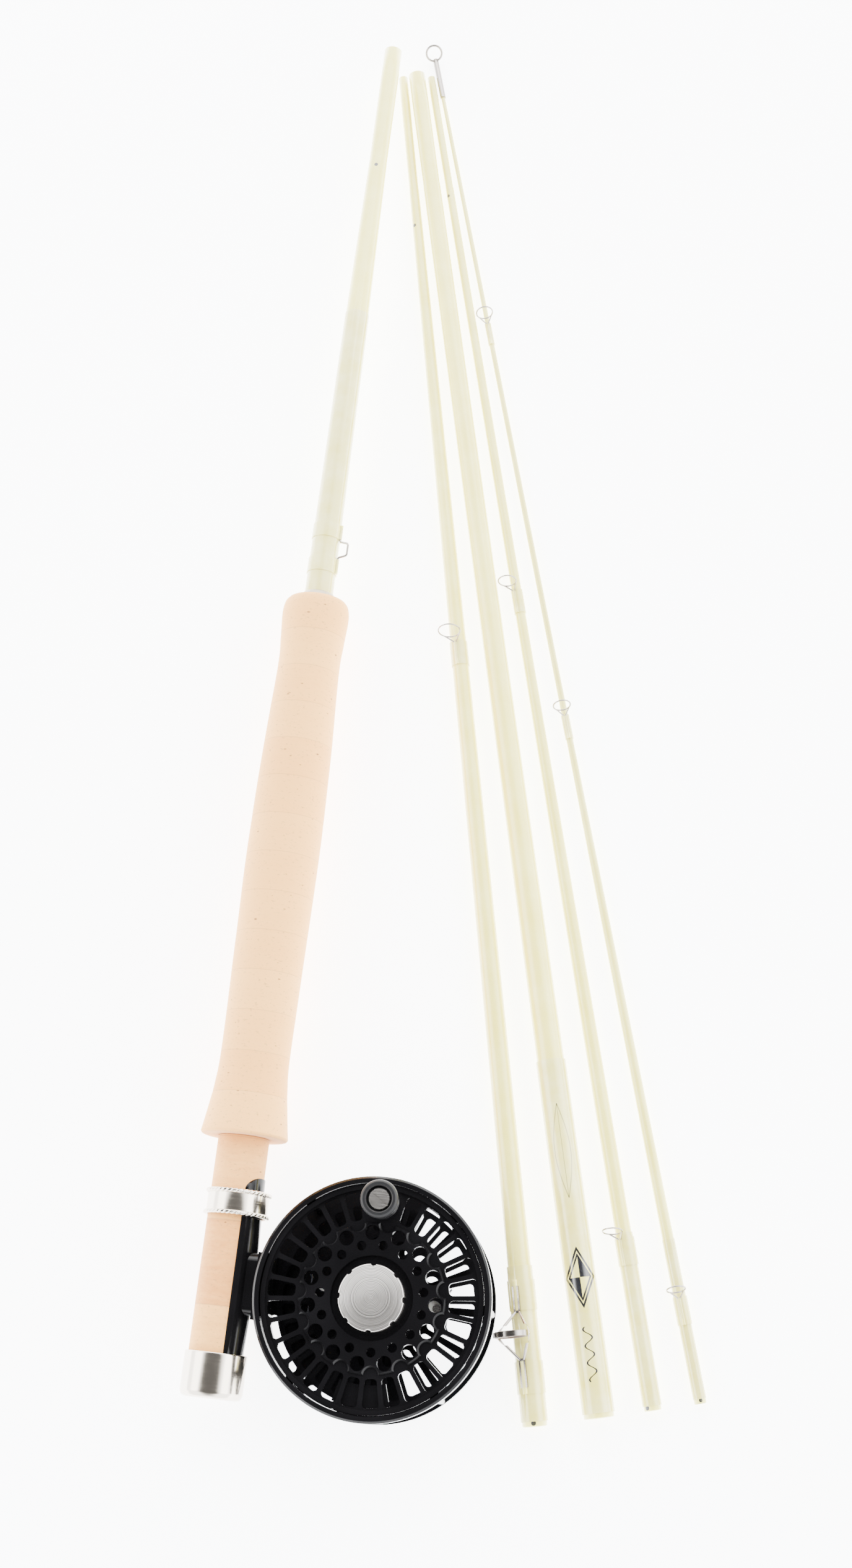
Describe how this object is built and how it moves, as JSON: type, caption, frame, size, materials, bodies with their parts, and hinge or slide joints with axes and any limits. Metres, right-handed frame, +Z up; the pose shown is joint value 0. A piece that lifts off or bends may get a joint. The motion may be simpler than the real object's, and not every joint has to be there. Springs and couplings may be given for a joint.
{
  "type": "fly fishing rod and reel",
  "caption": "Multi-piece glass-fibre fly rod taken apart and laid in a fan, with cork grip, reel seat with cap and sliding band, wire guides, and a ported click-pawl fly reel.",
  "frame": {"origin": "spool axis at the flat back of the reel, on the surface that the part rests on", "axes": "+Z up along the spool's axis towards the handle, +Y along the butt section towards its tip end"},
  "size_m": [0.1717, 0.5171, 0.0369],
  "materials": {
    "glass_fibre": "clear-coated pale ivory glass fibre",
    "varnish": "clear epoxy over pale thread",
    "cork": "sanded natural cork",
    "insert_cork": "dense sanded cork",
    "arbor": "pressed fibre",
    "nickel_silver": "polished nickel silver",
    "black_anodised": "gloss black anodised",
    "knob": "satin dark grey",
    "steel": "bright turned",
    "spring_steel": "blued",
    "pawl": "acetal",
    "bronze": "plain turned",
    "turned_cap": "spun turned face",
    "rubber": "moulded",
    "guide_wire": "polished hard wire",
    "guide_ring": "smooth dark ceramic"
  },
  "bodies": {
    "butt_section": {"butt_blank": "glass_fibre", "butt_clear_coat": "varnish", "winding_check": "nickel_silver", "hook_keeper": "guide_wire", "keeper_wraps": "varnish", "cork_grip": "cork", "seat_insert": "insert_cork", "seat_arbors": "arbor", "butt_cap": "nickel_silver", "reel_foot": "black_anodised", "foot_screws": "steel", "reel_frame": "black_anodised", "spindle": "steel", "spindle_screws": "steel", "pawl_posts": "steel", "click_springs": "spring_steel"},
    "band": {"slide_band": "nickel_silver", "band_rope_rings": "nickel_silver"},
    "pawl_front": {"click_pawl_front": "pawl"},
    "pawl_rear": {"click_pawl_rear": "pawl"},
    "bush": {"spool_bush": "bronze"},
    "spool": {"spool": "black_anodised", "counterweight": "black_anodised", "click_gear": "bronze", "gear_screws": "steel", "handle_screw": "steel", "handle_washer": "black_anodised"},
    "knob": {"handle_knob": "knob"},
    "cap": {"hub_cap": "turned_cap", "cap_o_ring": "rubber"},
    "second_section": {"second_blank": "glass_fibre", "second_clear_coat": "varnish"},
    "third_section": {"third_blank": "glass_fibre", "third_socket_wrap": "varnish", "stripping_guide_frame": "guide_wire", "stripping_guide_ring": "guide_ring", "stripping_guide_wraps": "varnish", "third_guide_1": "guide_wire", "third_guide_1_wrap": "varnish"},
    "fourth_section": {"fourth_blank": "glass_fibre", "fourth_socket_wrap": "varnish", "fourth_guide_1": "guide_wire", "fourth_guide_2": "guide_wire", "fourth_guide_1_wrap": "varnish", "fourth_guide_2_wrap": "varnish"},
    "tip_section": {"tip_blank": "glass_fibre", "tip_socket_wrap": "varnish", "tip_guide_1": "guide_wire", "tip_guide_2": "guide_wire", "tip_guide_3": "guide_wire", "tip_guide_1_wrap": "varnish", "tip_guide_2_wrap": "varnish", "tip_guide_3_wrap": "varnish", "tip_top": "guide_wire"}
  },
  "joints": [
    {"name": "slide_band_travel", "type": "slide", "parent": "butt_section", "child": "band", "axis": [0, 1, 0], "range_m": [0, 0.013]},
    {"name": "click_pawl_front_swing", "type": "hinge", "parent": "butt_section", "child": "pawl_front", "pos_m": [0.019, 0, 0.0044], "axis": [0, 0, 1], "range_deg": [-12, 12], "stiffness_Nm_per_rad": 0.001},
    {"name": "click_pawl_rear_swing", "type": "hinge", "parent": "butt_section", "child": "pawl_rear", "pos_m": [-0.019, 0, 0.0044], "axis": [0, 0, 1], "range_deg": [-12, 12], "stiffness_Nm_per_rad": 0.001},
    {"name": "spool_release", "type": "slide", "parent": "butt_section", "child": "bush", "axis": [0, 0, 1], "range_m": [0, 0.03]},
    {"name": "spool_spin", "type": "hinge", "parent": "bush", "child": "spool", "pos_m": [0, 0, 0.012], "axis": [0, 0, 1], "continuous": true},
    {"name": "handle_spin", "type": "hinge", "parent": "spool", "child": "knob", "pos_m": [0, 0.03, 0.031], "axis": [0, 0, 1], "continuous": true},
    {"name": "hub_cap_turn", "type": "hinge", "parent": "spool", "child": "cap", "pos_m": [0, 0, 0.025], "axis": [0, 0, 1], "continuous": true},
    {"name": "second_section_lift", "type": "slide", "parent": "butt_section", "child": "second_section", "axis": [0, 0, 1], "range_m": [0, 0.08]},
    {"name": "third_section_draw", "type": "slide", "parent": "butt_section", "child": "third_section", "axis": [0.1982, -0.9801, 0.0064], "range_m": [0, 0.08]},
    {"name": "fourth_section_lift", "type": "slide", "parent": "butt_section", "child": "fourth_section", "axis": [0, 0, 1], "range_m": [0, 0.08]},
    {"name": "tip_section_lift", "type": "slide", "parent": "butt_section", "child": "tip_section", "axis": [0, 0, 1], "range_m": [0, 0.08]}
  ]
}
